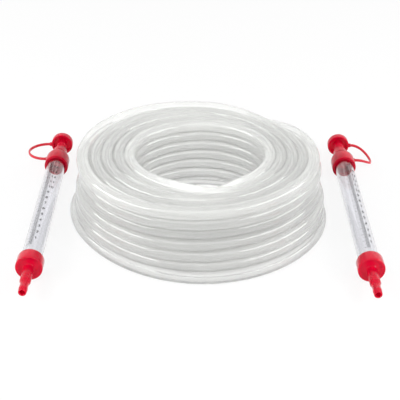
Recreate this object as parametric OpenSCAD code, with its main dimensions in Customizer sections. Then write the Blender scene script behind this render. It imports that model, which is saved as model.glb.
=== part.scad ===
// Water level: a coil of clear hose and two loose sight tubes with plug-in stoppers.
// Millimetres, +Z up, origin on the floor at the middle of the whole set.

/* [Hose] */
// Outside diameter of the hose
hose_d = 10; // [8:0.5:10]
// Bore of the hose
hose_bore = 8; // [5:0.5:8]
// Length of the free cut end that lies in the eye of the coil
eye_end_len = 18; // [12:1:18]
// Length of the free cut end that lies behind the coil
back_end_len = 25; // [12:1:30]

/* [Coil] */
// Distance of the coil's axis behind the middle of the sight tubes
coil_y = 6.5; // [-20:0.5:20]
// Radius of the innermost column of turns, at the middle of the hose
eye_r = 60.6; // [60:0.2:70]
// Distance between columns of turns
col_pitch = 10.45; // [10.45:0.05:12]
// Distance between rows of turns
row_pitch = 9.4; // [9.4:0.1:11]
// Columns of turns from the eye to the outer wall
cols = 5; // [3:1:6]
// Rows of turns from the floor to the top
rows = 7; // [5:1:8]
// How far the lowest outer turn spreads past the top one
flare = 7; // [4:0.2:10]
// Radius at which the end in the eye lies, at the middle of the hose
eye_end_r = 40; // [38:1:41]

/* [Sight tubes] */
// Outside diameter of the clear tube
tube_d = 17.5; // [16:0.5:18]
// Wall of the clear tube
tube_wall = 1.5; // [1:0.1:2]
// Length of clear tube that shows between its two caps
tube_clear = 169; // [120:1:220]
// Distance of each tube's axis from the middle of the set
tube_x = 139.2; // [136:0.1:150]
// How far the left tube lies back, and the right one forward
stagger = 1.5; // [0:0.5:6]

/* [Caps] */
// Outside diameter of both caps
cap_d = 22.5; // [22:0.5:24]
// Length of the hose cap's sleeve
cap_len = 12.6; // [10:0.2:16]
// Thickness of the hose cap's closed end
cap_floor = 3; // [2:0.5:5]
// Length of the top cap's straight collar
collar_len = 13; // [12:0.5:20]
// Length of the top cap's dome
dome_len = 15; // [12:0.5:18]
// Outside diameter of the top cap's neck
neck_d = 13; // [12.5:0.5:14]
// Length of the neck past the dome
neck_len = 5; // [4:0.5:8]
// Depth to which the tube seats in the top cap
top_seat = 11; // [8:0.5:11]

/* [Nozzle] */
// Length of the nozzle in front of the hose cap
nozzle_len = 34.7; // [34:0.1:45]
// Diameter of the nozzle's boss, over which the hose seats
boss_d = 9; // [8.6:0.1:9.4]
// Diameter of the shank behind the tip
shank_d = 7; // [6.6:0.1:7.4]
// Diameter of the barb at the tip
barb_d = 7.4; // [7.4:0.1:8]
// Diameter of the passage through the nozzle
nozzle_bore = 4.2; // [3:0.1:4.5]

/* [Stopper] */
// Outside diameter of the stopper's cup
cup_d = 21; // [20:0.5:22]
// Length of the cup
cup_len = 8; // [7:0.5:10]
// Depth of the recess in the cup
cup_recess = 5; // [4:0.5:6]
// Wall of the cup's skirt
skirt_wall = 1.9; // [1.4:0.1:2.2]
// Diameter of the plug's sealing ribs
rib_d = 9.9; // [9:0.1:9.9]
// Diameter of the plug between the ribs
plug_d = 8.8; // [8:0.1:9]
// How far the plug reaches into the neck as it lies
plug_reach = 4.5; // [3:0.5:5]
// How far the cup stands off the neck as it lies
stopper_pull = 14.3; // [10:0.1:16]

/* [Strap] */
// Width of the strap
strap_w = 2.6; // [2:0.1:3]
// Thickness of the strap
strap_t = 1.7; // [1.2:0.1:2]
// Reach of the strap's loop from the tube's axis
strap_reach = 30.6; // [26:0.2:34]
// How far the loop of the right strap sags towards the floor
right_sag = 9.2; // [0:0.1:9.4]

/* [Hidden] */
$fn = 64;
left = -1;
right = 1;

// Sections along one sight tube, measured from the nozzle's tip
cap_face_s = nozzle_len;
cap_end_s = cap_face_s + cap_len;
collar_s = cap_end_s + tube_clear;
dome_s = collar_s + collar_len;
neck_s = dome_s + dome_len;
neck_end_s = neck_s + neck_len;
cup_s = neck_end_s + stopper_pull;
cup_back_s = cup_s + cup_len;
ceiling_s = cup_s + cup_recess;
plug_tip_s = neck_end_s - plug_reach;
seat_s = collar_s + top_seat;
axis_z = cap_d / 2;

// Radii of the fits between the pieces of one sight tube
glue_gap = 0.05;
socket_r = tube_d / 2 + glue_gap;
tube_bore_r = tube_d / 2 - tube_wall;
neck_bore_r = rib_d / 2 + glue_gap;
edge = 1.2;
rim_edge = 0.4;

// Lugs on the collar and the cup that carry the strap
lug_w = 3.4;
lug_face = axis_z + 1.2;
lug_root = 0.6;
collar_lug_s = dome_s + 3;
cup_lug_s = cup_s + 1.8;

// Places of the coil's turns: the middle of the hose, and angles in degrees from +X
sides = 6;
ring_step = 15;
turn_span = 45;
drop_at = 35;
step_at = 65;
climb_at = 95;
start_a = 165;
enter_a = 200;
enter_span = 100;
end_a = 15 + 360 * (2 * rows + cols - 2);
outer_r = eye_r + (cols - 1) * col_pitch;
facet_h = hose_d / 2 * cos(180 / sides);

// How far the end behind the coil springs outwards
end_out = 2;

function ease(t) = t <= 0 ? 0 : t >= 1 ? 1 : (1 - cos(180 * t)) / 2;

function arc(c, r, from, to, steps) =
    [for (i = [0 : steps]) let (a = from + (to - from) * i / steps) c + r * [cos(a), sin(a)]];

// Radius of the outer wall at a row, counted from the floor
function wall_r(row) = outer_r + flare * pow(1 - row / (rows - 1), 2);

// Height of a row of turns, counted from the floor, where the hose lies on a flat of its section
function row_z(row) = row == 0 ? facet_h : hose_d / 2 + row * row_pitch;

// Each move of the hose: its first angle, its span, and its change of radius and height.
// The hose comes out of the eye, climbs the inner wall, crosses the top and goes down the outer wall.
moves = concat(
    [[enter_a, enter_span, [eye_r - eye_end_r, facet_h - hose_d / 2]]],
    [for (i = [0 : rows - 2]) [climb_at + 360 * (1 + i), turn_span, [0, row_z(i + 1) - row_z(i)]]],
    [for (i = [0 : cols - 2]) [step_at + 360 * (rows + i), turn_span, [col_pitch, 0]]],
    [for (i = [0 : rows - 2]) let (row = rows - 1 - i)
        [drop_at + 360 * (rows + cols - 1 + i), turn_span,
            [wall_r(row - 1) - wall_r(row), row_z(row - 1) - row_z(row)]]],
    [[end_a - turn_span, turn_span, [end_out, hose_d / 2 - facet_h]]]);

function summed(list, i = 0, total = [0, 0]) =
    i == len(list) ? total : summed(list, i + 1, total + list[i]);

// Radius and height of the hose at an angle: the start plus the share of every move made by then
function hose_at(a) =
    [eye_end_r, hose_d / 2] + summed([for (m = moves) m[2] * ease((a - m[0]) / m[1])]);

function outward(a) = [cos(a), sin(a), 0];
function along(a) = [-sin(a), cos(a), 0];
function coil_point(a, p) = [0, coil_y, 0] + p[0] * outward(a) + [0, 0, p[1]];
function hexagon() = [for (i = [0 : sides - 1]) hose_d / 2 * [cos(360 * i / sides), sin(360 * i / sides)]];
function ring(c, u, v, outline) = [for (p = outline) c + p[0] * u + p[1] * v];
function hose_ring(a, run) =
    ring(coil_point(a, hose_at(a)) + run * along(a), outward(a), [0, 0, 1], hexagon());

// Points round the hose's section, four to each flat, for measuring gaps
function section_points() =
    [for (i = [0 : sides - 1]) for (t = [0 : 0.25 : 0.75])
        hexagon()[i] * (1 - t) + hexagon()[(i + 1) % sides] * t];

function gap(d) = min([for (p = section_points()) for (q = section_points()) norm(d + q - p)]);

// Least gap of the winding to itself, between sections that lie in the same half plane
function least_gap() =
    min([for (a = [start_a : ring_step : end_a - 360]) for (b = [a + 360 : 360 : end_a])
        let (d = hose_at(b) - hose_at(a))
        if (norm(d) < 1.5 * hose_d) gap(d)]);

// Closed skin over a row of rings that all have the same number of points
module skin(rings) {
    n = len(rings[0]);
    last = len(rings) - 1;
    polyhedron(
        points = [for (r = rings) each r],
        faces = concat(
            [for (i = [1 : n - 2]) [0, i + 1, i]],
            [for (i = [1 : n - 2]) [last * n, last * n + i, last * n + i + 1]],
            [for (k = [0 : last - 1]) for (i = [0 : n - 1])
                [k * n + i, k * n + (i + 1) % n, (k + 1) * n + i]],
            [for (k = [0 : last - 1]) for (i = [0 : n - 1])
                [k * n + (i + 1) % n, (k + 1) * n + (i + 1) % n, (k + 1) * n + i]]));
}

// The outer layer of the coil as one unbroken tube, straight for one diameter at each end
module hose_turns() {
    echo(least_gap_of_the_winding = least_gap());
    rings = concat(
        [hose_ring(start_a, -hose_d)],
        [for (a = [start_a : ring_step : end_a]) hose_ring(a, 0)],
        [hose_ring(end_a, hose_d)]);
    color("gainsboro") skin(rings);
}

// The turns that the outer layer hides, as one ring that stands on the floor
module hose_core() {
    gap = 0.6;
    inside = eye_r + hose_d / 2 + gap;
    room = hose_d / 2 + gap + outer_r * (1 - cos(ring_step / 2));
    top = row_z(rows - 1) - facet_h - gap;
    wall = [for (i = [0 : rows - 2]) [wall_r(i) - room, row_z(i)]];
    color("lightgray")
        translate([0, coil_y, 0])
        rotate_extrude()
        polygon(concat(
            [[inside, 0], [wall[0][0], 0]],
            wall,
            [[wall_r(rows - 1) - room, top], [inside, top]]));
}

// One straight cut end of hose, from where the winding stops
module hose_end(a, way, length) {
    translate(coil_point(a, hose_at(a)) + way * hose_d * along(a))
        rotate([0, 90, a + way * 90])
        difference() {
            cylinder(h = length, d = hose_d);
            translate([0, 0, -1]) cylinder(h = length + 2, d = hose_bore);
        }
}

module hose_eye_end() {
    color("whitesmoke") hose_end(start_a, -1, eye_end_len);
}

module hose_back_end() {
    color("whitesmoke") hose_end(end_a, 1, back_end_len);
}

// Lays a piece that is drawn up the Z axis along its sight tube, tip towards -Y
module laid(side) {
    translate([side * tube_x, -cup_back_s / 2 - side * stagger, axis_z])
        rotate([-90, 0, 0])
        children();
}

module sight_tube(side) {
    color("aliceblue", 0.4)
        laid(side)
        translate([0, 0, cap_face_s + cap_floor])
        difference() {
            cylinder(h = seat_s - cap_face_s - cap_floor, d = tube_d);
            translate([0, 0, -1]) cylinder(h = seat_s, r = tube_bore_r);
        }
}

// Sleeve with a closed end and the stepped nozzle that the hose pushes onto
module hose_cap(side) {
    boss_r = boss_d / 2;
    barb_r = barb_d / 2;
    shank_r = shank_d / 2;
    tip_r = barb_r - 0.4;
    tip_round = 0.6;
    root_round = 1;
    barb_top = 5.2;
    barb_end = 6.5;
    shank_end = 10.5;
    taper_end = 15.4;
    groove_r = boss_r - 0.35;
    groove_w = 1.2;
    groove_gap = 3.3;
    steps = 4;
    taper = [for (i = [0 : steps]) let (t = i / steps)
        [shank_r + (boss_r - shank_r) * t * t, shank_end + (taper_end - shank_end) * t]];
    grooves = [for (i = [1 : 2]) let (s = taper_end + i * groove_gap)
        each [[boss_r, s - groove_w], [groove_r, s - groove_w / 2], [boss_r, s]]];
    color("crimson")
        laid(side)
        rotate_extrude()
        polygon(concat(
            [[nozzle_bore / 2, 0]],
            arc([tip_r - tip_round, tip_round], tip_round, -90, -10, 3),
            [[barb_r, barb_top], [shank_r, barb_end]],
            taper,
            grooves,
            arc([boss_r + root_round, cap_face_s - root_round], root_round, 180, 90, 3),
            arc([cap_d / 2 - edge, cap_face_s + edge], edge, -90, 0, 5),
            [[cap_d / 2, cap_end_s - rim_edge], [cap_d / 2 - rim_edge, cap_end_s], [socket_r, cap_end_s],
             [socket_r, cap_face_s + cap_floor], [nozzle_bore / 2, cap_face_s + cap_floor]]));
}

// Block on the side of a round piece, with a flat face that the strap meets
module lug(side, s, from) {
    translate([side > 0 ? from : -lug_face, -lug_w / 2, s - lug_w / 2])
        cube([lug_face - from, lug_w, lug_w]);
}

// Collar over the tube, domed in to a neck that the stopper plugs
module top_cap(side) {
    neck_r = neck_d / 2;
    neck_round = 0.8;
    chamber = 3;
    cone = 4;
    steps = 8;
    dome = [for (i = [0 : steps]) let (a = 90 * i / steps)
        [neck_r + (cap_d / 2 - neck_r) * cos(a), dome_s + dome_len * sin(a)]];
    color("crimson")
        laid(side)
        union() {
            rotate_extrude()
                polygon(concat(
                    [[socket_r, collar_s], [cap_d / 2 - rim_edge, collar_s],
                     [cap_d / 2, collar_s + rim_edge]],
                    dome,
                    arc([neck_r - neck_round, neck_end_s - neck_round], neck_round, 0, 90, 3),
                    [[neck_bore_r, neck_end_s], [neck_bore_r, seat_s + chamber + cone],
                     [tube_bore_r, seat_s + chamber], [tube_bore_r, seat_s], [socket_r, seat_s]]));
            lug(side, collar_lug_s, socket_r + lug_root);
        }
}

// Cup with a ribbed plug in its middle
module stopper(side) {
    cup_r = cup_d / 2;
    back_round = 2.4;
    rim_round = 0.5;
    lead = 0.8;
    plug_r = plug_d / 2;
    rib_r = rib_d / 2;
    rib_pitch = 4.2;
    rib_half = 0.9;
    first_rib = plug_tip_s + 2.2;
    ribs = [for (i = [0 : 3]) let (s = first_rib + i * rib_pitch)
        each [[plug_r, s - rib_half], [rib_r, s - rib_half / 3],
            [rib_r, s + rib_half / 3], [plug_r, s + rib_half]]];
    color("crimson")
        laid(side)
        union() {
            rotate_extrude()
                polygon(concat(
                    [[0, plug_tip_s], [plug_r - lead, plug_tip_s], [plug_r, plug_tip_s + lead]],
                    ribs,
                    [[plug_r, ceiling_s], [cup_r - skirt_wall, ceiling_s], [cup_r - skirt_wall, cup_s]],
                    arc([cup_r - rim_round, cup_s + rim_round], rim_round, -90, 0, 3),
                    arc([cup_r - back_round, cup_back_s - back_round], back_round, 0, 90, 6),
                    [[0, cup_back_s]]));
            lug(side, cup_lug_s, cup_r - skirt_wall + lug_root);
        }
}

// Flat band from the collar's lug to the cup's, looped outwards along half an ellipse
module strap(side, sag) {
    steps = 24;
    half_span = (cup_lug_s - collar_lug_s) / 2;
    bulge = strap_reach - lug_face;
    chamfer = 0.4;
    w = strap_w / 2;
    t = strap_t / 2;
    outline = [[t, -w + chamfer], [t, w - chamfer], [t - chamfer, w], [-t + chamfer, w],
        [-t, w - chamfer], [-t, -w + chamfer], [-t + chamfer, -w], [t - chamfer, -w]];
    rings = [for (i = [0 : steps]) let (
            a = 180 * i / steps,
            out = side * (lug_face + bulge * sin(a)),
            c = [out, sag * pow(sin(a), 2), collar_lug_s + half_span * (1 - cos(a))],
            way = [side * bulge * cos(a), 0, half_span * sin(a)],
            run = way / norm(way))
        ring(c, [-run[2], 0, run[0]], [0, 1, 0], outline)];
    color("firebrick") laid(side) skin(rings);
}

hose_turns();
hose_core();
hose_eye_end();
hose_back_end();
sight_tube(left);  // left_sight_tube
hose_cap(left);  // left_hose_cap
top_cap(left);  // left_top_cap
stopper(left);  // left_stopper
strap(left, 0);  // left_strap
sight_tube(right);  // right_sight_tube
hose_cap(right);  // right_hose_cap
top_cap(right);  // right_top_cap
stopper(right);  // right_stopper
strap(right, right_sag);  // right_strap
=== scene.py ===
"""Water level hose: the looks of the coiled hose, the two sight tubes and their red fittings."""

import math

import bpy
import numpy as np
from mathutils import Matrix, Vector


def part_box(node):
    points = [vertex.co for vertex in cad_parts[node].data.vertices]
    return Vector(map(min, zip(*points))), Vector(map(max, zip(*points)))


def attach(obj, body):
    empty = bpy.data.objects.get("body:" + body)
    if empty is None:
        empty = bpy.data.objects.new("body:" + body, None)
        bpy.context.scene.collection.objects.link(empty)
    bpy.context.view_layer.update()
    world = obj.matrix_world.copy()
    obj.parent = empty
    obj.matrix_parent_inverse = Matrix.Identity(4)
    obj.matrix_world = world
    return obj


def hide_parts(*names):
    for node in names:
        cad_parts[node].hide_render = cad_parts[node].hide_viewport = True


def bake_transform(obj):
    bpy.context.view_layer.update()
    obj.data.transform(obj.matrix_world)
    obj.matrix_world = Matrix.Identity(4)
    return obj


bl_info = {
    "name": "Water Level Hose",
    "version": (1, 0, 0),
    "blender": (4, 5, 0),
    "location": "View3D > Sidebar > Water Level",
    "description": "Builds a coiled water level hose with two sight tubes round its packed frame",
    "category": "Add Mesh",
}

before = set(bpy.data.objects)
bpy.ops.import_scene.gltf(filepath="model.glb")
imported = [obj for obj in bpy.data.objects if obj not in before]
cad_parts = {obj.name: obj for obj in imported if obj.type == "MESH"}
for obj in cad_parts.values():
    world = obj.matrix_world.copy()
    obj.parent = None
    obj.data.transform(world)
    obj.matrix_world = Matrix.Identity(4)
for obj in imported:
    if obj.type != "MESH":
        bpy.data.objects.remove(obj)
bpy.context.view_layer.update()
MM = 0.001
SIDES = {"left": -1, "right": 1}


# Places that the frame gives

def tube_place(side):
    """Where a sight tube lies, in metres: its axis across, its nozzle's tip along Y and its axis
    up."""
    low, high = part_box(side + "_sight_tube")
    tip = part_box(side + "_hose_cap")[0].y
    return (low.x + high.x) / 2, tip, (low.z + high.z) / 2


# Surfaces

LATHE_SIDES = 72
LEAST_RADIUS = 0.01


def grid_quads(rows, cols, close_rows=False, close_cols=False):
    """Quads of a grid of points in row order. A closed direction joins its last line to its
    first."""
    i = np.arange(rows if close_rows else rows - 1)[:, None]
    j = np.arange(cols if close_cols else cols - 1)[None, :]
    down, across = (i + 1) % rows, (j + 1) % cols
    corners = [i * cols + j, i * cols + across, down * cols + across, down * cols + j]
    return np.stack(np.broadcast_arrays(*corners), -1).reshape(-1, 4)


def end_faces(rows, cols):
    """One face over the first row of a grid of points and one over its last."""
    first = list(range(cols))
    return [first[::-1], [(rows - 1) * cols + i for i in first]]


def outward(points, faces):
    """The faces turned so that the volume they close, the sum of a . (b x c) / 6, is positive."""
    quads = np.array([f[:4] if len(f) > 3 else [*f, f[0]] for f in faces])
    a, b, c, d = (points[quads[:, k]] for k in range(4))
    volume = np.einsum("ij,ij->", a, np.cross(b, c)) + np.einsum("ij,ij->", a, np.cross(c, d))
    return faces if volume > 0 else [list(f)[::-1] for f in faces]


def joined(*shells):
    """Several closed shells as one list of points and one list of faces."""
    points, faces, first = [], [], 0
    for p, f in shells:
        points.append(p)
        faces += [[first + i for i in face] for face in f]
        first += len(p)
    return np.concatenate(points), faces


def arc(centre, radius, start, end, steps=6):
    """Points on an arc: centre + radius (cos a, sin a), with a from start to end in degrees."""
    a = np.radians(np.linspace(start, end, steps + 1))
    return np.stack([centre[0] + radius * np.cos(a), centre[1] + radius * np.sin(a)], -1)


def profile(*parts):
    """One outline of (radius, distance) pairs in millimetres from points and arcs."""
    return np.concatenate([np.atleast_2d(np.asarray(p, float)) for p in parts])


def lathe(outline, ring=False):
    """Surface of revolution: (r cos a, r sin a, s) over the outline and a full turn. A ring's
    outline closes on itself, and any other is closed by a small face at each end, where its radius
    is next to nothing."""
    a = np.linspace(0, 2 * np.pi, LATHE_SIDES, endpoint=False)
    r = np.maximum(outline[:, 0], LEAST_RADIUS)[:, None]
    s = np.broadcast_to(outline[:, 1][:, None], (len(outline), LATHE_SIDES))
    points = np.stack([r * np.cos(a), r * np.sin(a), s], -1).reshape(-1, 3)
    faces = grid_quads(len(outline), LATHE_SIDES, ring, True).tolist()
    if not ring:
        faces += end_faces(len(outline), LATHE_SIDES)
    return points, outward(points, faces)


def swept(centres, across, up, outline):
    """A closed outline carried along a path: centre + x across + y up for every point of the
    outline, with end faces."""
    points = (centres[:, None, :] + outline[None, :, 0:1] * across[:, None, :]
              + outline[None, :, 1:2] * up[:, None, :]).reshape(-1, 3)
    rows, cols = len(centres), len(outline)
    faces = grid_quads(rows, cols, False, True).tolist() + end_faces(rows, cols)
    return points, outward(points, faces)


def rounded_block(low, high, power=5.0, steps=24):
    """Block with soft edges, a superellipsoid: each axis is sign(w) |w|^(2/power) of a unit
    sphere's own."""
    rows = steps // 2 - 1
    t = np.linspace(-np.pi / 2, np.pi / 2, rows + 2)[1:-1][:, None]
    a = np.linspace(0, 2 * np.pi, steps, endpoint=False)[None, :]
    axes = np.cos(t) * np.cos(a), np.cos(t) * np.sin(a), np.sin(t)
    unit = np.stack(np.broadcast_arrays(*axes), -1)
    shape = np.sign(unit) * np.abs(unit) ** (2 / power)
    low, high = np.asarray(low, float), np.asarray(high, float)
    points = ((low + high) / 2 + shape * (high - low) / 2).reshape(-1, 3)
    faces = grid_quads(rows, steps, False, True).tolist() + end_faces(rows, steps)
    return points, outward(points, faces)


def laid(points, side):
    """Points drawn in millimetres up a tube's own axis, laid along Y on the floor in metres."""
    x, tip, z = tube_place(side)
    return np.stack(
        [x + points[:, 0] * MM, tip + points[:, 2] * MM, z - points[:, 1] * MM], -1)


def make_piece(name, points, faces, material, sharp=35, uv=None):
    """A mesh object at the origin from points in metres, smooth but for edges past the sharp angle
    in degrees."""
    mesh = bpy.data.meshes.new(name)
    mesh.from_pydata(points.tolist(), [], faces)
    mesh.update()
    mesh.polygons.foreach_set("use_smooth", np.ones(len(mesh.polygons), bool))
    mesh.set_sharp_from_angle(angle=math.radians(sharp))
    if uv is not None:
        corners = np.empty(len(mesh.loops), np.int64)
        mesh.loops.foreach_get("vertex_index", corners)
        layer = mesh.uv_layers.new(name="along")
        layer.data.foreach_set("uv", uv[corners].astype(np.float32).ravel())
    mesh.materials.append(material)
    piece = bpy.data.objects.new(name, mesh)
    bpy.context.scene.collection.objects.link(piece)
    return piece


# Materials

# Sockets of a colour mix node, which share their names with its other kinds
MIX_FACTOR, MIX_A, MIX_B, MIX_RESULT = 0, 6, 7, 2


def add_node(tree, kind, x, y, inputs=None, **settings):
    """A node at a place in the tree, with its settings and its input values."""
    node = tree.nodes.new(kind)
    node.location = (x, y)
    for key, value in settings.items():
        setattr(node, key, value)
    for key, value in (inputs or {}).items():
        node.inputs[key].default_value = value
    return node


def moulded_skin():
    """Node group: the faint unevenness of moulded plastic. Tone and gloss drift with slow noise,
    and fine noise gives the height of the skin."""
    if "moulded_skin" in bpy.data.node_groups:
        return bpy.data.node_groups["moulded_skin"]
    tree = bpy.data.node_groups.new("moulded_skin", "ShaderNodeTree")
    face = tree.interface
    face.new_socket("Vector", in_out="INPUT", socket_type="NodeSocketVector")
    defaults = {"Drift Scale": 60.0, "Grain Scale": 900.0, "Low Gloss": 0.2, "High Gloss": 0.3}
    for name, value in defaults.items():
        socket = face.new_socket(name, in_out="INPUT", socket_type="NodeSocketFloat")
        socket.default_value = value
    for name in ("Tone", "Roughness", "Height"):
        face.new_socket(name, in_out="OUTPUT", socket_type="NodeSocketFloat")
    start = add_node(tree, "NodeGroupInput", -800, 0)
    end = add_node(tree, "NodeGroupOutput", 400, 0)
    drift = add_node(tree, "ShaderNodeTexNoise", -500, 200, {"Detail": 3.0, "Roughness": 0.55})
    grain = add_node(tree, "ShaderNodeTexNoise", -500, -200, {"Detail": 2.0, "Roughness": 0.6})
    gloss = add_node(tree, "ShaderNodeMapRange", -100, 0, {"From Min": 0.3, "From Max": 0.7})
    for node, scale in ((drift, "Drift Scale"), (grain, "Grain Scale")):
        tree.links.new(start.outputs["Vector"], node.inputs["Vector"])
        tree.links.new(start.outputs[scale], node.inputs["Scale"])
    tree.links.new(drift.outputs["Fac"], gloss.inputs["Value"])
    tree.links.new(start.outputs["Low Gloss"], gloss.inputs["To Min"])
    tree.links.new(start.outputs["High Gloss"], gloss.inputs["To Max"])
    tree.links.new(drift.outputs["Fac"], end.inputs["Tone"])
    tree.links.new(gloss.outputs["Result"], end.inputs["Roughness"])
    tree.links.new(grain.outputs["Fac"], end.inputs["Height"])
    return tree


def new_material(name, values):
    """A material and its tree and shader, with plain values on the shader's own sockets."""
    material = bpy.data.materials.new(name)
    material.use_nodes = True
    tree = material.node_tree
    shader = tree.nodes["Principled BSDF"]
    for key, value in values.items():
        shader.inputs[key].default_value = value
    return material, tree, shader


def shades(colour, dark, light):
    """A darker and a lighter shade of a colour, each by its own factor."""
    tint = np.array(colour)
    return tint * dark, np.minimum(tint * light, 1)


def skin_on(tree, shader, coordinates, values, tones, bump):
    """Puts the moulded skin on a shader: its tone between two colours, its roughness and its
    bump."""
    skin = add_node(tree, "ShaderNodeGroup", -700, 100, values, node_tree=moulded_skin())
    dark, light = tones
    mix = add_node(tree, "ShaderNodeMix", -400, 200, {MIX_A: (*dark, 1), MIX_B: (*light, 1)},
                   data_type="RGBA")
    height = add_node(tree, "ShaderNodeBump", -400, -200, {"Strength": bump, "Distance": 0.0002})
    tree.links.new(coordinates, skin.inputs["Vector"])
    tree.links.new(skin.outputs["Tone"], mix.inputs[MIX_FACTOR])
    tree.links.new(mix.outputs[MIX_RESULT], shader.inputs["Base Color"])
    tree.links.new(skin.outputs["Roughness"], shader.inputs["Roughness"])
    tree.links.new(skin.outputs["Height"], height.inputs["Height"])
    tree.links.new(height.outputs["Normal"], shader.inputs["Normal"])


def edge_alpha(tree, shader, middle, edge):
    """Clear plastic is clearest where it faces the eye and closes towards its edges."""
    weight = add_node(tree, "ShaderNodeLayerWeight", -700, -500, {"Blend": 0.5})
    alpha = add_node(tree, "ShaderNodeMapRange", -400, -500, {"To Min": middle, "To Max": edge})
    tree.links.new(weight.outputs["Facing"], alpha.inputs["Value"])
    tree.links.new(alpha.outputs["Result"], shader.inputs["Alpha"])


def foot_dust(tree, shader, low, high, share):
    """Painted shade at the foot, standing in for the floor's shadow under the lowest turn: the
    colour is multiplied by share up to the low height and by 1 from the high one, in metres."""
    place = add_node(tree, "ShaderNodeTexCoord", -1200, 500)
    height = add_node(tree, "ShaderNodeSeparateXYZ", -950, 500)
    shade_factor = add_node(tree, "ShaderNodeMapRange", -700, 500,
                     {"From Min": low, "From Max": high, "To Min": share})
    painted_shade = add_node(tree, "ShaderNodeMix", -150, 300, {MIX_FACTOR: 1.0},
                     data_type="RGBA", blend_type="MULTIPLY")
    colour = shader.inputs["Base Color"].links[0].from_socket
    tree.links.new(place.outputs["Object"], height.inputs["Vector"])
    tree.links.new(height.outputs["Z"], shade_factor.inputs["Value"])
    tree.links.new(colour, painted_shade.inputs[MIX_A])
    tree.links.new(shade_factor.outputs["Result"], painted_shade.inputs[MIX_B])
    tree.links.new(painted_shade.outputs[MIX_RESULT], shader.inputs["Base Color"])


def clear_hose_material(looks):
    """Soft clear hose: milky, with long streaks from the extruder and a wet gloss. Turns pressed
    together hardly bend the light between them, so the index is low."""
    material, tree, shader = new_material("clear_hose", {
        "IOR": 1.2, "Transmission Weight": 0.68, "Coat Weight": 1.0, "Coat Roughness": 0.05})
    place = add_node(tree, "ShaderNodeUVMap", -1200, 0, uv_map="along")
    stretch = add_node(tree, "ShaderNodeMapping", -950, 0, {"Scale": (6.0, 300.0, 1.0)})
    tree.links.new(place.outputs["UV"], stretch.inputs["Vector"])
    skin_on(tree, shader, stretch.outputs["Vector"],
            {"Drift Scale": 1.0, "Grain Scale": 4.0, "Low Gloss": 0.15, "High Gloss": 0.25},
            shades(looks.hose_colour, dark=0.96, light=1.03), bump=0.8)
    # Painted shade: the hose's colour is darkened towards the floor, for the shadow under its
    # lowest turn
    foot_dust(tree, shader, low=0.004, high=0.014, share=0.74)
    edge_alpha(tree, shader, middle=0.75, edge=1.0)
    return material


def clear_tube_material(looks):
    """Rigid clear tube that bends what lies behind it."""
    material, tree, shader = new_material("clear_tube", {"IOR": 1.45, "Transmission Weight": 1.0})
    place = add_node(tree, "ShaderNodeTexCoord", -1200, 0)
    stretch = add_node(tree, "ShaderNodeMapping", -950, 0, {"Scale": (1.0, 0.05, 1.0)})
    tree.links.new(place.outputs["Object"], stretch.inputs["Vector"])
    skin_on(tree, shader, stretch.outputs["Vector"],
            {"Drift Scale": 500.0, "Grain Scale": 1500.0, "Low Gloss": 0.01, "High Gloss": 0.04},
            shades(looks.tube_colour, dark=0.97, light=1.03), bump=0.03)
    return material


def red_material(name, colour, low, high, bump):
    """Glossy red moulding that lets some light through, with slow drifts of tone and a roughness
    from low to high."""
    material, tree, shader = new_material(name, {
        "IOR": 1.22, "Transmission Weight": 0.4,
        "Coat Weight": 0.4, "Coat IOR": 1.3, "Coat Roughness": 0.04})
    place = add_node(tree, "ShaderNodeTexCoord", -1200, 0)
    skin_on(tree, shader, place.outputs["Object"],
            {"Drift Scale": 120.0, "Grain Scale": 2500.0, "Low Gloss": low, "High Gloss": high},
            shades(colour, dark=0.85, light=1.12), bump)
    return material


def ink_material():
    """Black print with a slightly worn, uneven ink."""
    material, tree, shader = new_material("scale_ink", {"Specular IOR Level": 0.1})
    place = add_node(tree, "ShaderNodeTexCoord", -1200, 0)
    black, worn = np.full(3, 0.008), np.full(3, 0.03)
    skin_on(tree, shader, place.outputs["Object"],
            {"Drift Scale": 800.0, "Grain Scale": 3000.0, "Low Gloss": 0.45, "High Gloss": 0.65},
            (black, worn), bump=0.05)
    return material


def material_once(name, make, *values, **settings):
    """The named material, made at its first use."""
    return bpy.data.materials.get(name) or make(*values, **settings)


def red_moulding():
    """The fittings' hard red plastic."""
    looks = bpy.context.scene.water_level_looks
    return material_once("red_moulding", red_material, "red_moulding", looks.red_colour,
                         low=0.16, high=0.26, bump=0.06)


# Settings

class WaterLevelSizes(bpy.types.PropertyGroup):
    """Sizes of the hose, its coil and the printed scale."""
    hose_width: bpy.props.FloatProperty(
        name="Hose Width", description="Width of the hose in the coil",
        default=0.0099, unit="LENGTH")
    hose_height: bpy.props.FloatProperty(
        name="Hose Height", description="Height of the hose under the turns above it",
        default=0.0094, unit="LENGTH")
    hose_bore: bpy.props.FloatProperty(
        name="Hose Bore", description="Width of the hose's bore",
        default=0.008, unit="LENGTH")
    hose_length: bpy.props.FloatProperty(
        name="Hose Length", description="Real length of the hose",
        default=18.0, unit="LENGTH")
    coil_y: bpy.props.FloatProperty(
        name="Coil Place", description="Distance of the coil's axis behind the middle",
        default=0.0065, unit="LENGTH")
    figure_height: bpy.props.FloatProperty(
        name="Figure Height", description="Height of the figures on the scale",
        default=0.0032, unit="LENGTH")


class WaterLevelLooks(bpy.types.PropertyGroup):
    """Colours of the hose, the tubes and the fittings."""
    hose_colour: bpy.props.FloatVectorProperty(
        name="Hose", description="Milky tint of the hose's wall",
        default=(0.965, 0.97, 0.955), subtype="COLOR", size=3, min=0, max=1)
    tube_colour: bpy.props.FloatVectorProperty(
        name="Sight Tube", description="Tint of the clear tube",
        default=(0.87, 0.87, 0.895), subtype="COLOR", size=3, min=0, max=1)
    red_colour: bpy.props.FloatVectorProperty(
        name="Red Moulding", description="Colour of the caps and stoppers",
        default=(0.78, 0.001, 0.036), subtype="COLOR", size=3, min=0, max=1)
    strap_colour: bpy.props.FloatVectorProperty(
        name="Strap", description="Colour of the soft straps",
        default=(0.68, 0.002, 0.036), subtype="COLOR", size=3, min=0, max=1)


# Stage: places in metres, angles in degrees

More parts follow.
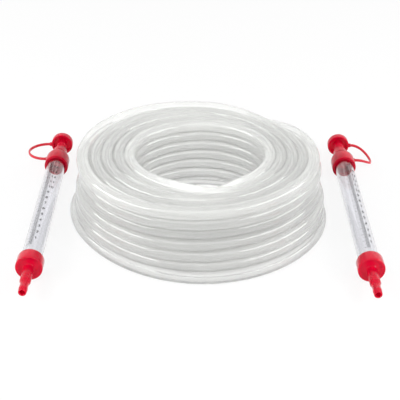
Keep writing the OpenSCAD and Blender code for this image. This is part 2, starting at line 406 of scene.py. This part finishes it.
CAMERA_PLACE = (0.0, -0.7935, 0.4618)
CAMERA_PITCH = 29.13
CAMERA_LENS, SENSOR_WIDTH = 91.48, 36
CLIP_START, CLIP_END = 0.01, 100
WHITE = (1, 1, 1, 1)
SURROUND_LIGHT = 0.52
FLOOR_COLOUR = (0.92, 0.92, 0.92, 1)
FLOOR_WHITE = 0.86
FLOOR_HALF, FLOOR_LINES, FLOOR_DROP = 4, 9, 0.0002
COIL_MIDDLE = (0, 0, 0.03)


def backdrop_mix(tree, lit, shown, share, out):
    """Mixes a lit shader with a plain white one that only camera, glossy and transmission rays
    see."""
    path = add_node(tree, "ShaderNodeLightPath", -900, 300)
    first = add_node(tree, "ShaderNodeMath", -600, 300, operation="MAXIMUM")
    second = add_node(tree, "ShaderNodeMath", -400, 300, operation="MAXIMUM")
    amount = add_node(tree, "ShaderNodeMath", -200, 300, {1: share}, operation="MULTIPLY")
    mix = add_node(tree, "ShaderNodeMixShader", 0, 200)
    tree.links.new(path.outputs["Is Camera Ray"], first.inputs[0])
    tree.links.new(path.outputs["Is Glossy Ray"], first.inputs[1])
    tree.links.new(first.outputs[0], second.inputs[0])
    tree.links.new(path.outputs["Is Transmission Ray"], second.inputs[1])
    tree.links.new(second.outputs[0], amount.inputs[0])
    tree.links.new(amount.outputs[0], mix.inputs[0])
    tree.links.new(lit.outputs[0], mix.inputs[1])
    tree.links.new(shown.outputs[0], mix.inputs[2])
    tree.links.new(mix.outputs[0], out.inputs["Surface"])


def make_camera(scene):
    """The camera that was fitted to the photo."""
    data = bpy.data.cameras.new("camera")
    data.lens, data.sensor_width = CAMERA_LENS, SENSOR_WIDTH
    data.clip_start, data.clip_end = CLIP_START, CLIP_END
    camera = bpy.data.objects.new("camera", data)
    scene.collection.objects.link(camera)
    camera.location = CAMERA_PLACE
    camera.rotation_euler = (math.radians(90 - CAMERA_PITCH), 0, 0)
    scene.camera = camera


def make_surround(scene):
    """A surround that looks white and lights the set softly."""
    world = bpy.data.worlds.new("surround")
    scene.world = world
    world.use_nodes = True
    tree = world.node_tree
    tree.nodes.clear()
    soft = add_node(tree, "ShaderNodeBackground", -300, 0,
                    {"Color": WHITE, "Strength": SURROUND_LIGHT})
    white = add_node(tree, "ShaderNodeBackground", -300, -200, {"Color": WHITE, "Strength": 1.0})
    backdrop_mix(tree, soft, white, 1.0, add_node(tree, "ShaderNodeOutputWorld", 300, 0))


def make_floor():
    """A floor that looks nearly white, with faint shadows on it."""
    stuff = bpy.data.materials.new("pale_floor")
    stuff.use_nodes = True
    tree = stuff.node_tree
    tree.nodes.clear()
    lit = add_node(tree, "ShaderNodeBsdfDiffuse", -300, 0, {"Color": FLOOR_COLOUR})
    white = add_node(tree, "ShaderNodeEmission", -300, -200, {"Color": WHITE, "Strength": 1.0})
    backdrop_mix(tree, lit, white, FLOOR_WHITE,
                 add_node(tree, "ShaderNodeOutputMaterial", 300, 0))
    line = np.linspace(-FLOOR_HALF, FLOOR_HALF, FLOOR_LINES)
    u, v = np.meshgrid(line, line)
    points = np.stack([u, v, np.full_like(u, -FLOOR_DROP)], -1).reshape(-1, 3)
    quads = grid_quads(FLOOR_LINES, FLOOR_LINES).tolist()
    make_piece("floor", points, quads, stuff)


def hang_lamp(lamp, place, target):
    """Puts a lamp at a place and turns it to look at a target."""
    holder = bpy.data.objects.new(lamp.name, lamp)
    bpy.context.scene.collection.objects.link(holder)
    holder.location = place
    way = np.subtract(place, target)
    tilt = math.atan2(math.hypot(way[0], way[1]), way[2])
    holder.rotation_euler = (tilt, 0, math.atan2(way[1], way[0]) + math.pi / 2)
    return holder


def make_lamp(name, place, target, size, watts):
    """A soft rectangular lamp that looks at a target."""
    lamp = bpy.data.lights.new(name, "AREA")
    lamp.shape = "RECTANGLE"
    lamp.size, lamp.size_y = size
    lamp.energy = watts
    hang_lamp(lamp, place, target)


def make_spot(name, place, target, angle, radius, watts):
    """A spot with a soft cone of that angle, hidden from gloss so that it leaves no bright dots."""
    lamp = bpy.data.lights.new(name, "SPOT")
    lamp.spot_size, lamp.spot_blend = math.radians(angle), 1.0
    lamp.shadow_soft_size = radius
    lamp.energy = watts
    hang_lamp(lamp, place, target).visible_glossy = False


class WATERLEVEL_OT_stage(bpy.types.Operator):
    """Add the camera, the soft lamps, the pale floor and the white surround"""
    bl_idname = "waterlevel.stage"
    bl_label = "Stage"

    def execute(self, context):
        scene = context.scene
        scene.view_settings.view_transform = "Standard"
        make_camera(scene)
        make_surround(scene)
        make_floor()
        make_lamp("lamp_left", place=(-0.95, -0.25, 0.6), target=COIL_MIDDLE,
                  size=(1.4, 0.3), watts=8.5)
        make_lamp("lamp_right", place=(0.95, -0.25, 0.6), target=COIL_MIDDLE,
                  size=(1.4, 0.3), watts=8)
        make_lamp("lamp_front", place=(0, -0.9, 0.95), target=(0, 0, 0),
                  size=(1.4, 0.9), watts=5.5)
        make_lamp("lamp_back", place=(0, 1.1, 0.5), target=COIL_MIDDLE,
                  size=(1.8, 0.12), watts=0.4)
        make_spot("lamp_eye", place=(0, -0.5, 0.75), target=(0, 0.036, 0.015),
                  angle=8.5, radius=0.02, watts=42)
        return {"FINISHED"}


# Hose: millimetres and degrees

COLUMN_RADII = (61.6, 71.4, 81.2, 91.0, 101.0)
COLUMN_FLARE = (0.0, 1.0, 2.5, 4.5, 7.5)
COLUMN_TOPS = (61.1, 60.7, 61.1, 60.0, 61.3)
ROWS = 7
TURNS = 35
FIRST_MOVE, MOVE_LEAD, MOVE_SPAN = 260.0, 15.0, 50.0
ENTER_ANGLE, ENTER_SPAN = 270.0, 100.0
START_ANGLE, END_ANGLE = 165.0, 15.0 + 360 * TURNS
# Out of true: a constant and the cosine and sine of one, two and three waves to a turn
RIM_WAVES = (0.5, -2.6, 0.8, -0.6, -1.2, 1.7, 0.0)
FOOT_WAVES = (0.0, -1.2, 0.7, 2.2, -2.8, 0.3, 2.7)
# Out of true: size, rate and shift of each sine
DRIFT_WAVES = ((0.25, 0.31, 1.1), (0.2, 0.77, 2.0), (0.1, 2.13, 0.0))
TOP_WAVES = ((0.5, 1, -0.6), (0.3, 2, 0.9))
BULGE, BULGE_ROWS, BULGE_POWER = 0.9, 3, 6
FADE_SPAN = 90
EYE_END_RADIUS = 40.0
EYE_TAIL, EYE_TAIL_RINGS = 28.0, 7
BACK_TAIL, BACK_TAIL_RINGS = 35.0, 8
RING_STEP = 5.0
HOSE_SIDES = 16
SECTION_POWER = 2.5
PRESS = 1.0
OPEN_DEPTH, CLOSE_SPAN = 60.0, 40.0
THREAD_SHARE = 0.11


def turn_place(column, row, foot):
    """Radius and height of a turn: columns spread towards the floor with the square of the
    depth."""
    share = row / (ROWS - 1)
    return np.array([COLUMN_RADII[column] + COLUMN_FLARE[column] * (1 - share) ** 2,
                     foot + (COLUMN_TOPS[column] - foot) * share])


def winding_stops():
    """The places that the hose takes turn by turn, as column and row: up the eye's wall, down
    beside it, up again to and fro between the next two columns, and down the outer wall."""
    up, down = range(ROWS), range(ROWS - 1, -1, -1)
    stops = [(0, row) for row in up] + [(1, row) for row in down]
    for row in up:
        stops += [(3, row), (2, row)] if row % 2 else [(2, row), (3, row)]
    return np.array(stops + [(4, row) for row in down])


def winding_moves(foot):
    """Each move of the hose as first angle, span, change of radius and change of height. Moves in
    one direction start at one angle. At each change of direction they start a little earlier on
    the turn, so that the next turn has made room."""
    stops = winding_stops()
    places = np.array([turn_place(column, row, foot) for column, row in stops])
    ways = np.diff(stops, axis=0)
    bends = np.concatenate([[0], np.cumsum(np.any(ways[1:] != ways[:-1], axis=1))])
    angles = FIRST_MOVE - MOVE_LEAD * bends + 360 * np.arange(1, len(stops))
    moves = np.column_stack([angles, np.full(len(ways), MOVE_SPAN), np.diff(places, axis=0)])
    return np.vstack([[ENTER_ANGLE, ENTER_SPAN, places[0][0] - EYE_END_RADIUS, 0.0], moves])


def sines(waves, turn):
    """The sum of size sin(rate turn + shift) over the waves."""
    return sum(size * np.sin(rate * turn + shift) for size, rate, shift in waves)


def unevenness(turn, r, row):
    """How far each ring of hose lies out of true. The rim and the foot of the coil are each a
    little oval, which fades towards the eye. The outer wall bulges at every third row, a row later
    on one side, and slow waves run along the hose."""
    rounds = [f(k * turn) for k in (1, 2, 3) for f in (np.cos, np.sin)]
    waves = np.stack([np.ones_like(turn)] + rounds)
    depth = np.clip(1 - row / (ROWS - 1), 0, 1) ** 2
    oval = np.array(RIM_WAVES) @ waves * (1 - depth) + np.array(FOOT_WAVES) @ waves * depth
    climb = (1 + np.cos(turn)) * np.pi / BULGE_ROWS
    bulge = BULGE * np.cos(2 * np.pi * row / BULGE_ROWS + climb)
    outer = np.clip((r - COLUMN_RADII[0]) / (COLUMN_RADII[-1] - COLUMN_RADII[0]), 0, 1)
    return outer * oval + outer ** BULGE_POWER * bulge + sines(DRIFT_WAVES, turn)


def hose_route(height, coil_y):
    """The middle of the hose and its outward direction, ring by ring. Radius and height are the
    start plus the share of every move made by that angle, each eased as (1 - cos) / 2. Both ends
    run straight."""
    a = np.arange(START_ANGLE, END_ANGLE + RING_STEP / 2, RING_STEP)
    foot = height / 2
    moves = winding_moves(foot)
    t = np.clip((a[:, None] - moves[None, :, 0]) / moves[None, :, 1], 0, 1)
    share = (1 - np.cos(np.pi * t)) / 2
    r = EYE_END_RADIUS + share @ moves[:, 2]
    z = foot + share @ moves[:, 3]
    turn = np.radians(a)
    row = (z - foot) / height
    fade = (np.clip((a - ENTER_ANGLE - ENTER_SPAN) / FADE_SPAN, 0, 1)
            * np.clip((END_ANGLE - a) / FADE_SPAN, 0, 1))
    r = r + fade * unevenness(turn, r, row)
    z = z + fade * row / (ROWS - 1) * sines(TOP_WAVES, turn)
    out = np.stack([np.cos(turn), np.sin(turn), np.zeros_like(turn)], -1)
    along = np.stack([-np.sin(turn), np.cos(turn), np.zeros_like(turn)], -1)
    middle = np.array([0, coil_y, 0]) + r[:, None] * out + z[:, None] * np.array([0, 0, 1])
    before = np.linspace(-EYE_TAIL, 0, EYE_TAIL_RINGS + 1)[:-1, None]
    after = np.linspace(0, BACK_TAIL, BACK_TAIL_RINGS + 1)[1:, None]
    middle = np.concatenate(
        [middle[0] + before * along[0], middle, middle[-1] + after * along[-1]])
    out = np.concatenate(
        [np.repeat(out[:1], EYE_TAIL_RINGS, 0), out, np.repeat(out[-1:], BACK_TAIL_RINGS, 0)])
    return middle, out


def upright_frame(middle, out):
    """Outward and upward directions square to the hose's path at each ring."""
    way = np.gradient(middle, axis=0)
    up = np.cross(out, way)
    up /= np.linalg.norm(up, axis=1, keepdims=True)
    side = np.cross(way, up)
    return side / np.linalg.norm(side, axis=1, keepdims=True), up


def distance_along(line):
    """How far along a line of points each point lies."""
    steps = np.linalg.norm(np.diff(line, axis=0), axis=1)
    return np.concatenate([[0], np.cumsum(steps)])


def hose_wall(middle, out, up, section, half):
    """Points round the hose's path, ring by ring: middle + x w out + y h up, for the section's
    (x, y) and the half width and height (w, h) of each ring. What would lie under the floor lies
    flat on it."""
    ring = section[None] * half[:, None]
    points = middle[:, None] + ring[..., :1] * out[:, None] + ring[..., 1:] * up[:, None]
    return np.maximum(points.reshape(-1, 3), [-np.inf, -np.inf, 0])


def hose_faces(rings):
    """Faces of the hose's outer wall and of its inner one, with a lip between them at each end."""
    skin = grid_quads(rings, HOSE_SIDES, False, True)
    inner = rings * HOSE_SIDES
    here = np.arange(HOSE_SIDES)
    there = (here + 1) % HOSE_SIDES
    lip = np.stack([here, inner + here, inner + there, there], -1)
    last = (rings - 1) * HOSE_SIDES
    return np.concatenate([skin, skin[:, ::-1] + inner, lip[:, ::-1], lip + last]).tolist()


class WATERLEVEL_OT_hose(bpy.types.Operator):
    """Add the coiled hose with its open ends"""
    bl_idname = "waterlevel.hose"
    bl_label = "Hose"

    def execute(self, context):
        sizes = context.scene.water_level_sizes
        wide, high, bore = (v / MM for v in (sizes.hose_width, sizes.hose_height, sizes.hose_bore))
        middle, out = hose_route(high, sizes.coil_y / MM)
        out, up = upright_frame(middle, out)
        run = distance_along(middle)
        # The ends are free and open. In the coil the turns press together, and the bore, which the
        # milky wall hides, narrows to a thread.
        depth = np.minimum(run, run[-1] - run)[:, None]
        coiled = np.clip((depth - OPEN_DEPTH) / CLOSE_SPAN, 0, 1)
        outside = (np.array([wide, high]) + PRESS * coiled) / 2
        inside = np.array([bore, high - wide + bore]) / 2 * (1 - (1 - THREAD_SHARE) * coiled)
        # The section is a superellipse, a circle pressed a little square.
        a = np.linspace(0, 2 * np.pi, HOSE_SIDES, endpoint=False)
        circle = np.stack([np.cos(a), np.sin(a)], -1)
        size = np.sum(np.abs(circle) ** SECTION_POWER, axis=1, keepdims=True)
        section = circle / size ** (1 / SECTION_POWER)
        points = np.concatenate(
            [hose_wall(middle, out, up, section, half) for half in (outside, inside)])
        faces = outward(points, hose_faces(len(middle)))
        u = np.repeat(run * MM, HOSE_SIDES)
        v = np.tile(np.sin(a) * wide * MM, len(middle))
        uv = np.tile(np.stack([u, v], -1), (2, 1))
        stuff = material_once("clear_hose", clear_hose_material, context.scene.water_level_looks)
        hose = make_piece("hose", points * MM, faces, stuff, sharp=60, uv=uv)
        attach(hose, "hose")
        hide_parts("hose_turns", "hose_core", "hose_eye_end", "hose_back_end")
        return {"FINISHED"}


# Sight tubes and their fittings: distances from the nozzle's tip in millimetres

TUBE_R, TUBE_BORE_R = 8.75, 7.25
TUBE_START, TUBE_END, TUBE_EDGE, TUBE_RINGS = 37.7, 227.3, 0.2, 24
# Soft edges that several fittings share
LIP, MOUTH, RIM_ROUND, PLUG_ROUND = 0.2, 0.3, 0.4, 0.8
# Hose cap
CAP_R, CAP_FACE, CAP_END, SOCKET_R, CAP_WALL = 11.25, 34.7, 47.3, 8.8, 3
NOZZLE_BORE_R, NOZZLE_TIP_R, BARB_R, SHANK_R, BOSS_R = 2.1, 2.7, 3.7, 3.5, 4.5
TIP_ROUND, ROOT_ROUND, FACE_ROUND = 0.6, 1.0, 1.2
BARB = ((BARB_R - 0.1, 4.4), (BARB_R, 5.0), (BARB_R - 0.03, 5.4), (SHANK_R + 0.06, 6.3),
        (SHANK_R, 6.6))
TAPER_START, TAPER_LENGTH, TAPER_STEPS = 10.5, 4.9, 9
GROOVE = ((0, -1.2), (-0.2, -1.0), (-0.35, -0.6), (-0.2, -0.2), (0, 0))
GROOVE_ENDS = (18.7, 22.0)
# Top cap
COLLAR, DOME, NECK, NECK_END, NECK_R, NECK_BORE_R = 216.3, 229.3, 243.5, 249.3, 6.5, 5.0
DOME_STEPS, NECK_LEAD, CHAMBER_SIDE, CHAMBER_END = 22, 0.6, 3, 7
# Stopper
CUP, CUP_BACK, CUP_R, CUP_CEILING, SKIRT_R = 263.6, 271.6, 10.5, 268.6, 8.6
CEILING_ROUND, CUP_ROUND, BACK_ROUND = 0.6, 0.5, 2.4
DISC_R, DISC_DEPTH = 3.0, 0.25
PLUG_TIP, PLUG_R, RIB_R = 244.8, 4.4, 4.95
RIB = ((PLUG_R, -1.1), (PLUG_R + 0.12, -0.85), (RIB_R - 0.1, -0.45), (RIB_R, -0.2),
       (RIB_R, 0.2), (RIB_R - 0.1, 0.45), (PLUG_R + 0.12, 0.85), (PLUG_R, 1.1))
RIB_FIRST, RIB_PITCH, RIBS = 2.2, 4.2, 4
# Strap and its lugs
LUG_HALF, LUG_ROOT, LUG_FACE, LUG_LAP = 1.7, 0.6, 12.45, 0.1
COLLAR_LUG, CUP_LUG = 232.3, 265.4
STRAP_REACH, STRAP_W, STRAP_T, BLEND_LEAD = 30.6, 2.6, 1.7, 6.0
STRAP_STEPS, STRAP_SIDES, STRAP_POWER = 72, 20, 0.5
STRAP_SAG = {"left": 0.0, "right": 9.2}


class WATERLEVEL_OT_sight_tubes(bpy.types.Operator):
    """Add the two clear sight tubes"""
    bl_idname = "waterlevel.sight_tubes"
    bl_label = "Sight Tubes"

    def execute(self, context):
        stuff = material_once("clear_tube", clear_tube_material, context.scene.water_level_looks)
        r, b, e = TUBE_R, TUBE_BORE_R, TUBE_EDGE
        along = np.linspace(TUBE_START + e, TUBE_END - e, TUBE_RINGS)
        outline = profile(
            np.stack([np.full_like(along, r), along], -1),
            [(r - e, TUBE_END), (b + e, TUBE_END)],
            np.stack([np.full_like(along, b), along[::-1]], -1),
            [(b + e, TUBE_START), (r - e, TUBE_START)])
        for side in SIDES:
            points, faces = lathe(outline, ring=True)
            tube = make_piece(side + "_clear_tube", laid(points, side), faces, stuff)
            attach(tube, side + "_tube")
            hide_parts(side + "_sight_tube")
        return {"FINISHED"}


class WATERLEVEL_OT_hose_caps(bpy.types.Operator):
    """Add the hose caps with their stepped nozzles"""
    bl_idname = "waterlevel.hose_caps"
    bl_label = "Hose Caps"

    def execute(self, context):
        t = np.linspace(0, 1, TAPER_STEPS + 1)
        taper_r = SHANK_R + (BOSS_R - SHANK_R) * t ** 2
        seat = CAP_FACE + CAP_WALL
        outline = profile(
            [(NOZZLE_BORE_R, MOUTH), (NOZZLE_BORE_R + MOUTH, 0)],
            arc((NOZZLE_TIP_R, TIP_ROUND), TIP_ROUND, -90, -10),
            BARB,
            np.stack([taper_r, TAPER_START + TAPER_LENGTH * t], -1),
            *[np.array(GROOVE) + (BOSS_R, end) for end in GROOVE_ENDS],
            arc((BOSS_R + ROOT_ROUND, CAP_FACE - ROOT_ROUND), ROOT_ROUND, 180, 90),
            arc((CAP_R - FACE_ROUND, CAP_FACE + FACE_ROUND), FACE_ROUND, -90, 0, 10),
            arc((CAP_R - RIM_ROUND, CAP_END - RIM_ROUND), RIM_ROUND, 0, 90, 4),
            [(SOCKET_R + LIP, CAP_END), (SOCKET_R, CAP_END - LIP)],
            [(SOCKET_R, seat), (NOZZLE_BORE_R, seat)])
        for side in SIDES:
            points, faces = lathe(outline, ring=True)
            cap = make_piece(side + "_nozzle_cap", laid(points, side), faces, red_moulding())
            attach(cap, side + "_tube")
            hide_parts(side + "_hose_cap")
        return {"FINISHED"}


def lug(sign, middle, wall_r):
    """Soft-edged block on the side of a round piece, where the strap starts."""
    inner, outer = sorted((sign * (wall_r + LUG_ROOT), sign * (LUG_FACE + LUG_LAP)))
    return rounded_block((inner, -LUG_HALF, middle - LUG_HALF),
                         (outer, LUG_HALF, middle + LUG_HALF))


class WATERLEVEL_OT_top_caps(bpy.types.Operator):
    """Add the domed top caps"""
    bl_idname = "waterlevel.top_caps"
    bl_label = "Top Caps"

    def execute(self, context):
        t = np.linspace(0, 1, DOME_STEPS + 1)
        dome_r = NECK_R + (CAP_R - NECK_R) * (1 + np.cos(np.pi * t)) / 2
        outline = profile(
            [(SOCKET_R, COLLAR + LIP), (SOCKET_R + LIP, COLLAR)],
            arc((CAP_R - RIM_ROUND, COLLAR + RIM_ROUND), RIM_ROUND, -90, 0, 4),
            np.stack([dome_r, DOME + (NECK - DOME) * t], -1),
            (NECK_R, NECK + NECK_LEAD),
            arc((NECK_R - PLUG_ROUND, NECK_END - PLUG_ROUND), PLUG_ROUND, 0, 90),
            [(NECK_BORE_R + MOUTH, NECK_END), (NECK_BORE_R, NECK_END - MOUTH)],
            [(NECK_BORE_R, TUBE_END + CHAMBER_END), (TUBE_BORE_R, TUBE_END + CHAMBER_SIDE)],
            [(TUBE_BORE_R, TUBE_END), (SOCKET_R, TUBE_END)])
        for side, sign in SIDES.items():
            points, faces = joined(lathe(outline, ring=True), lug(sign, COLLAR_LUG, SOCKET_R))
            cap = make_piece(side + "_dome_cap", laid(points, side), faces, red_moulding())
            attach(cap, side + "_tube")
            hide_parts(side + "_top_cap")
        return {"FINISHED"}


class WATERLEVEL_OT_stoppers(bpy.types.Operator):
    """Add the cupped stoppers with their ribbed plugs"""
    bl_idname = "waterlevel.stoppers"
    bl_label = "Stoppers"

    def execute(self, context):
        rib_places = PLUG_TIP + RIB_FIRST + RIB_PITCH * np.arange(RIBS)
        disc = CUP_BACK - DISC_DEPTH
        outline = profile(
            [(0, PLUG_TIP), (PLUG_R - PLUG_ROUND - LIP, PLUG_TIP)],
            arc((PLUG_R - PLUG_ROUND, PLUG_TIP + PLUG_ROUND), PLUG_ROUND, -90, 0),
            *[np.array(RIB) + (0, place) for place in rib_places],
            arc((PLUG_R + PLUG_ROUND, CUP_CEILING - PLUG_ROUND), PLUG_ROUND, 180, 90),
            arc((SKIRT_R - CEILING_ROUND, CUP_CEILING - CEILING_ROUND), CEILING_ROUND, 90, 0),
            [(SKIRT_R, CUP + MOUTH), (SKIRT_R + MOUTH, CUP)],
            arc((CUP_R - CUP_ROUND, CUP + CUP_ROUND), CUP_ROUND, -90, 0),
            arc((CUP_R - BACK_ROUND, CUP_BACK - BACK_ROUND), BACK_ROUND, 0, 90, 12),
            [(DISC_R + LIP, CUP_BACK), (DISC_R, disc), (0, disc)])
        for side, sign in SIDES.items():
            points, faces = joined(lathe(outline), lug(sign, CUP_LUG, SKIRT_R))
            stopper = make_piece(side + "_plug", laid(points, side), faces, red_moulding())
            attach(stopper, side + "_plug")
            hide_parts(side + "_stopper")
        return {"FINISHED"}


class WATERLEVEL_OT_straps(bpy.types.Operator):
    """Add the soft straps from the collars to the stoppers"""
    bl_idname = "waterlevel.straps"
    bl_label = "Straps"

    def execute(self, context):
        looks = context.scene.water_level_looks
        stuff = material_once("red_strap", red_material, "red_strap", looks.strap_colour,
                              low=0.3, high=0.42, bump=0.1)
        a = np.linspace(0, np.pi, STRAP_STEPS + 1)
        half, bulge = (CUP_LUG - COLLAR_LUG) / 2, STRAP_REACH - LUG_FACE
        b = np.linspace(0, 2 * np.pi, STRAP_SIDES, endpoint=False)
        unit = np.stack([np.cos(b), np.sin(b)], -1)
        size = np.array([STRAP_T / 2, STRAP_W / 2])
        outline = np.sign(unit) * np.abs(unit) ** STRAP_POWER * size
        for side, sign in SIDES.items():
            middle = np.stack(
                [sign * (LUG_FACE + bulge * np.sin(a)), STRAP_SAG[side] * np.sin(a) ** 2,
                 COLLAR_LUG + half * (1 - np.cos(a))], -1)
            way = np.stack([sign * bulge * np.cos(a), np.zeros_like(a), half * np.sin(a)], -1)
            way /= np.linalg.norm(way, axis=1, keepdims=True)
            across = np.stack([-way[:, 2], np.zeros_like(a), way[:, 0]], -1)
            up = np.broadcast_to(np.array([0.0, 1.0, 0.0]), across.shape)
            points, faces = swept(middle, across, up, outline)
            strap = make_piece(side + "_strap_loop", laid(points, side), faces, stuff)
            # The blend runs past both lugs, so that a pushed-in stopper leaves the loop round.
            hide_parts(side + "_strap")
            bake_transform(strap)
        return {"FINISHED"}


# Printed scale: millimetres, with each turn about the tube's axis in degrees

SCALE_ZERO = {"left": 59.2, "right": 56.9}
SCALE_TURN = {"left": 4.0, "right": 17.0}
SCALE_LENGTH = 150
TICK_GAP, TICK_SHORT, TICK_HALF, TICK_LONG = 0.9, 3.0, 4.2, 5.5
TICK_WIDE, STROKE_WIDE, INK_HIGH = 0.26, 0.6, 0.05
TICK_STEPS, STROKE_STEPS = 8, 20
FIGURE_PITCH = 0.8


def ring_points(cx, cy, rx, ry, start, end, n=14):
    """Points of an elliptical arc in a figure's own box, one unit high."""
    a = np.radians(np.linspace(start, end, n))
    return np.stack([cx + rx * np.cos(a), cy + ry * np.sin(a)], -1).tolist()


# Each figure as one stroke in a box one unit high
FIGURES = {
    "0": ring_points(0.28, 0.5, 0.26, 0.48, 90, 450, 28),
    "1": [(0.1, 0.76), (0.32, 0.98), (0.32, 0.02)],
    "2": ring_points(0.28, 0.7, 0.25, 0.28, 160, -40) + [(0.04, 0.02), (0.54, 0.02)],
    "3": (ring_points(0.27, 0.74, 0.23, 0.24, 140, -90)
          + ring_points(0.27, 0.26, 0.26, 0.24, 90, -140)),
    "4": [(0.42, 0.02), (0.42, 0.98), (0.02, 0.3), (0.56, 0.3)],
    "5": ([(0.5, 0.98), (0.1, 0.98), (0.06, 0.54)]
          + ring_points(0.27, 0.34, 0.26, 0.32, 140, -140)),
    "6": (ring_points(0.44, 0.5, 0.4, 0.48, 95, 180)
          + ring_points(0.29, 0.3, 0.25, 0.28, 180, 540, 22)),
    "7": [(0.04, 0.98), (0.54, 0.98), (0.2, 0.02)],
    "8": (ring_points(0.28, 0.74, 0.21, 0.23, -90, 270, 22)
          + ring_points(0.28, 0.26, 0.26, 0.24, 90, -270, 22)),
    "9": (ring_points(0.27, 0.7, 0.25, 0.28, 0, 360, 22)
          + ring_points(0.12, 0.5, 0.4, 0.48, 0, -85)),
}


def even_stroke(stroke):
    """A stroke with the same number of points as every other, evenly spaced along it."""
    stroke = np.asarray(stroke, float)
    run = distance_along(stroke)
    t = np.linspace(0, run[-1], STROKE_STEPS)
    return np.stack([np.interp(t, run, stroke[:, 0]), np.interp(t, run, stroke[:, 1])], -1)


def ink_bars(lines, width):
    """Raised bars along many lines at once: at each point the corners lie half a width to either
    side of the line, as far under the tube's surface as over it. Returns points as (across, along,
    height) and the bars' faces."""
    count, steps = lines.shape[:2]
    way = np.gradient(lines, axis=1)
    way /= np.linalg.norm(way, axis=2, keepdims=True)
    side = np.stack([-way[..., 1], way[..., 0]], -1) * width / 2
    corners = np.stack([lines + side, lines - side, lines - side, lines + side], 2)
    height = np.array([-INK_HIGH, -INK_HIGH, INK_HIGH, INK_HIGH])
    height = np.broadcast_to(height, corners.shape[:3])[..., None]
    points = np.concatenate([corners, height], -1).reshape(-1, 3)
    quads = np.concatenate([grid_quads(steps, 4, False, True), end_faces(steps, 4)])
    faces = (quads[None] + (np.arange(count) * steps * 4)[:, None, None]).reshape(-1, 4)
    return points, faces.tolist()


def scale_lines(figure_height):
    """The ticks and the figures' strokes of one scale as lines of (across, along) from the zero
    mark."""
    mark = np.arange(SCALE_LENGTH + 1)
    reach = np.where(mark % 10 == 0, TICK_LONG, np.where(mark % 5 == 0, TICK_HALF, TICK_SHORT))
    across = -TICK_GAP - reach[:, None] * np.linspace(0, 1, TICK_STEPS)[None, :]
    ticks = np.stack([across, np.broadcast_to(mark[:, None], across.shape).astype(float)], -1)
    strokes = []
    for value in range(1, SCALE_LENGTH // 10 + 1):
        for place, figure in enumerate(str(value)):
            start = [place * FIGURE_PITCH * figure_height, value * 10 - figure_height / 2]
            strokes.append(even_stroke(FIGURES[figure]) * figure_height + start)
    return ticks, np.array(strokes)


class WATERLEVEL_OT_scale_print(bpy.types.Operator):
    """Add the printed centimetre scales"""
    bl_idname = "waterlevel.scale_print"
    bl_label = "Scale Print"

    def execute(self, context):
        stuff = material_once("scale_ink", ink_material)
        ticks, strokes = scale_lines(context.scene.water_level_sizes.figure_height / MM)
        flat, faces = joined(ink_bars(ticks, TICK_WIDE), ink_bars(strokes, STROKE_WIDE))
        for side in SIDES:
            turn = math.radians(SCALE_TURN[side]) + flat[:, 0] / TUBE_R
            r = TUBE_R + flat[:, 2]
            up_tube = SCALE_ZERO[side] + flat[:, 1]
            points = laid(np.stack([r * np.sin(turn), -r * np.cos(turn), up_tube], -1), side)
            ink = make_piece(side + "_scale", points, outward(points, faces), stuff)
            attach(ink, side + "_tube")
        return {"FINISHED"}


# Panel and start

class WATERLEVEL_PT_panel(bpy.types.Panel):
    """Lists the pieces and the settings of the water level"""
    bl_idname = "WATERLEVEL_PT_panel"
    bl_label = "Water Level"
    bl_space_type = "VIEW_3D"
    bl_region_type = "UI"
    bl_category = "Water Level"

    def draw(self, context):
        for group in (context.scene.water_level_sizes, context.scene.water_level_looks):
            for key in group.__annotations__:
                self.layout.prop(group, key)
        for operator in OPERATORS:
            self.layout.operator(operator.bl_idname)


OPERATORS = (
    WATERLEVEL_OT_stage, WATERLEVEL_OT_hose, WATERLEVEL_OT_sight_tubes, WATERLEVEL_OT_hose_caps,
    WATERLEVEL_OT_top_caps, WATERLEVEL_OT_stoppers, WATERLEVEL_OT_straps,
    WATERLEVEL_OT_scale_print)
CLASSES = (WaterLevelSizes, WaterLevelLooks, *OPERATORS, WATERLEVEL_PT_panel)


def register():
    """Registers the classes and puts the settings on the scene."""
    for item in CLASSES:
        bpy.utils.register_class(item)
    bpy.types.Scene.water_level_sizes = bpy.props.PointerProperty(type=WaterLevelSizes)
    bpy.types.Scene.water_level_looks = bpy.props.PointerProperty(type=WaterLevelLooks)


def unregister():
    """Takes the settings off the scene and the classes out again."""
    del bpy.types.Scene.water_level_looks
    del bpy.types.Scene.water_level_sizes
    for item in reversed(CLASSES):
        bpy.utils.unregister_class(item)


def main():
    """Makes every piece in order."""
    register()
    bpy.ops.waterlevel.stage()
    bpy.ops.waterlevel.hose()
    bpy.ops.waterlevel.sight_tubes()
    bpy.ops.waterlevel.hose_caps()
    bpy.ops.waterlevel.top_caps()
    bpy.ops.waterlevel.stoppers()
    bpy.ops.waterlevel.straps()
    bpy.ops.waterlevel.scale_print()


if __name__ == "__main__":
    main()
